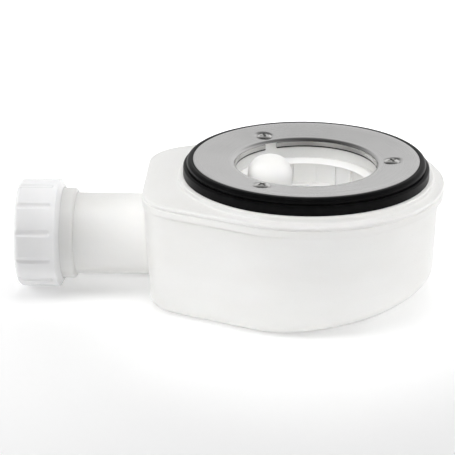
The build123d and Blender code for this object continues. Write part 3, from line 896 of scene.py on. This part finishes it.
# three raised countersunk screws with cross recesses and cut threads
screwShape = {
    "top": 1.552 * mm, "segments": 48, "sharp": 35,
    "crosses": [24, 10, 40],     # how each cross is turned
    # radius and height of the head's profile, from its middle to the shank
    "head": [(0.6, 0.95), (1.4, 0.91), (2.2, 0.80), (2.9, 0.64), (3.5, 0.42), (3.86, 0.22), (4.0, 0.04),
             (3.9, -0.10), (2.9, -1.12), (2.1, -1.85), (1.78, -2.3)],
    "shank": 1.75, "tip": -16.0, "point": 2.0, "tipShare": 0.3, "threadFrom": 0.5,
    "arm": 2.7, "armFoot": 1.2, "width": 1.5, "widthFoot": 0.8, "crossTop": 1.4, "crossFoot": -1.1,
}
shankThread = {
    "pitch": 1.6 * mm, "turns": 6.5, "perTurn": 40, "fade": 10, "base": 1.75 * mm, "crest": 2.14 * mm,
    "foot": 0.75 * mm, "top": 0.16 * mm,
}


def addLathe(bm, profile, segments, middle, topZ):
    turns = [2 * math.pi * k / segments for k in range(segments)]
    rings = []
    for radius, height in profile:
        reach, z = radius * mm, topZ + height * mm
        rings.append([bm.verts.new((middle.x + reach * math.cos(a), middle.y + reach * math.sin(a), z))
                      for a in turns])
    joinRings(bm, rings)
    closeEnds(bm, rings)


# tapered cross, a little above the head at the top
def addCross(bm, look, middle, angle):
    outlines = []
    for arm, width, height in ((look["arm"], look["width"], look["crossTop"]),
                               (look["armFoot"], look["widthFoot"], look["crossFoot"])):
        half, z = width / 2, look["top"] + height * mm
        corners = []
        for k in range(4):
            turn = math.radians(angle + 90 * k)
            for across, out in ((-half, arm), (half, arm), (half, half)):
                x = out * math.cos(turn) - across * math.sin(turn)
                y = out * math.sin(turn) + across * math.cos(turn)
                corners.append(bm.verts.new((middle.x + x * mm, middle.y + y * mm, z)))
        outlines.append(corners)
    joinRings(bm, outlines)
    closeEnds(bm, outlines)


def buildScrews(look, thread):
    heads, cutters, ridges = bmesh.new(), bmesh.new(), bmesh.new()
    shankEnd = look["tip"] + look["point"]
    shank = [(look["shank"], shankEnd), (look["shank"] * look["tipShare"], look["tip"])]
    for angle, cross in zip(screwAngles, look["crosses"]):
        turn = math.radians(angle)
        middle = Vector((screwCircle * mm * math.cos(turn), screwCircle * mm * math.sin(turn), 0))
        addLathe(heads, look["head"] + shank, look["segments"], middle, look["top"])
        addCross(cutters, look, middle, cross)

        def point(swing, radius, along):
            z = look["top"] + (shankEnd + look["threadFrom"]) * mm + along
            return Vector((middle.x + radius * math.cos(swing), middle.y + radius * math.sin(swing), z))
        addThread(ridges, point, thread)
    piece = meshPiece("crossScrews", heads, finishes["flange_screws"], "trap")
    carve(piece, cutters)
    smoothAll(piece, look["sharp"])
    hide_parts("flange_screws")
    threads = meshPiece("screwThreads", ridges, finishes["flange_screws"], "trap")
    smoothAll(threads, threadBase["sharp"])
    print("screws:", len(piece.data.polygons), "faces")


buildScrews(screwShape, shankThread)


# stage: pale floor, soft light all round, brighter from both sides
stageLook = {
    "floorSize": 8.0, "floorColour": (0.82, 0.82, 0.82), "floorRough": 0.9, "mottleScale": 3, "mottle": 0.985,
    # the floor glows more with distance from a place in front of the part, over a span in metres
    "floorGlow": (0.05, 0.95), "glowFrom": (0.0, -0.6, 0.0), "glowSpan": (0.3, 1.25),
    "back": (0.5, 0.86, 0.0),     # where the sky is brightest
    "around": [0.03, 0.41, 1.0],     # sky from the front, the sides and the back
    "above": [0.80, 0.86, 0.9, 0.38, 0.30],     # share of that from the horizon up to the zenith
    "lamps": [
        # name, place in metres, size, watts
        ("sideLeft", (-0.60, -0.10, 0.26), 0.45, 1.75),
        ("sideRight", (1.3, 0.12, 0.42), 0.9, 6.0),
        ("topFront", (-0.05, -0.14, 1.30), 0.9, 8.9),
    ],
    "lampAim": (0, 0, -0.03),
    # narrow lamp into the drain: place, half width of its pool, watts
    "snoot": ((0.0, -0.93, 0.50), 0.034, 330.0), "snootBlend": 0.4, "snootSize": 0.12,
}


def skyRamp(tree, source, start, values):
    spread = addNode(tree, "ShaderNodeMapRange")
    spread.inputs["From Min"].default_value = start
    tree.links.new(source, spread.inputs["Value"])
    ramp = addNode(tree, "ShaderNodeValToRGB")
    for k in range(1, len(values) - 1):
        ramp.color_ramp.elements.new(k / (len(values) - 1))
    for stop, value in zip(ramp.color_ramp.elements, values):
        stop.color = (value, value, value, 1)
    tree.links.new(spread.outputs["Result"], ramp.inputs["Fac"])
    return ramp.outputs["Color"]


def buildFloor(look):
    bpy.ops.mesh.primitive_grid_add(x_subdivisions=4, y_subdivisions=4, size=look["floorSize"])
    floor = bpy.context.object
    floor.name = "floor"
    floor.location.z = cadLow.z
    mat, tree, shader = newMaterial("paleFloor")
    mottle = noiseOn(tree, look["mottleScale"], detail=2)
    pale = look["floorColour"]
    colour = rampOn(tree, mottle, tuple(c * look["mottle"] for c in pale), pale)
    tree.links.new(colour, shader.inputs["Base Color"])
    shader.inputs["Roughness"].default_value = look["floorRough"]
    shader.inputs["Emission Color"].default_value = (1, 1, 1, 1)
    coord = addNode(tree, "ShaderNodeTexCoord")
    far = addNode(tree, "ShaderNodeVectorMath", operation="DISTANCE")
    far.inputs[1].default_value = look["glowFrom"]
    tree.links.new(coord.outputs["Object"], far.inputs[0])
    glow = stepOn(tree, far.outputs["Value"], *look["glowSpan"], *look["floorGlow"])
    tree.links.new(glow, shader.inputs["Emission Strength"])
    floor.data.materials.append(mat)


def buildSky(look):
    world = bpy.data.worlds.new("softSky")
    world.use_nodes = True
    tree = world.node_tree
    coord = addNode(tree, "ShaderNodeTexCoord")
    parts = addNode(tree, "ShaderNodeSeparateXYZ")
    tree.links.new(coord.outputs["Generated"], parts.inputs["Vector"])
    facing = addNode(tree, "ShaderNodeVectorMath", operation="DOT_PRODUCT")
    facing.inputs[1].default_value = look["back"]
    tree.links.new(coord.outputs["Generated"], facing.inputs[0])
    around = skyRamp(tree, facing.outputs["Value"], -1, look["around"])
    above = skyRamp(tree, parts.outputs["Z"], 0, look["above"])
    blend = addNode(tree, "ShaderNodeMix", data_type="RGBA", blend_type="MULTIPLY")
    blend.inputs["Factor"].default_value = 1
    tree.links.new(around, blend.inputs["A"])
    tree.links.new(above, blend.inputs["B"])
    tree.links.new(blend.outputs["Result"], tree.nodes["Background"].inputs["Color"])
    scene.world = world


# hangs a lamp at a place and turns it to what it lights
def hangLamp(lamp, place, aim):
    holder = bpy.data.objects.new(lamp.name, lamp)
    holder.location = place
    holder.rotation_euler = (Vector(aim) - Vector(place)).to_track_quat("-Z", "Y").to_euler()
    holder.visible_glossy = False
    scene.collection.objects.link(holder)


def buildLamps(look):
    for name, place, size, power in look["lamps"]:
        lamp = bpy.data.lights.new(name, "AREA")
        lamp.shape = "DISK"
        lamp.size = size
        lamp.energy = power
        hangLamp(lamp, place, look["lampAim"])
    place, pool, power = look["snoot"]
    lamp = bpy.data.lights.new("snoot", "SPOT")
    lamp.spot_size = 2 * math.atan(pool / Vector(place).length)
    lamp.spot_blend = look["snootBlend"]
    lamp.shadow_soft_size = look["snootSize"]
    lamp.energy = power
    hangLamp(lamp, place, (0, 0, 0))


# place in millimetres, angles in degrees
cameraLook = {
    "place": (-11.7, -813.0, 285.5), "pitch": 21.54, "turn": 1.99, "lens": 133.87, "sensor": 36,
    "clip": (0.05, 20),
}


def buildCamera(look):
    data = bpy.data.cameras.new("camera")
    data.lens = look["lens"]
    data.sensor_width = look["sensor"]
    data.clip_start, data.clip_end = look["clip"]
    camera = bpy.data.objects.new("camera", data)
    camera.location = Vector(look["place"]) * mm
    camera.rotation_euler = (math.radians(90 - look["pitch"]), 0, math.radians(look["turn"]))
    scene.collection.objects.link(camera)
    scene.camera = camera


buildFloor(stageLook)
buildSky(stageLook)
buildLamps(stageLook)
buildCamera(cameraLook)
scene.view_settings.view_transform = "Standard"
print("stage and camera ready")
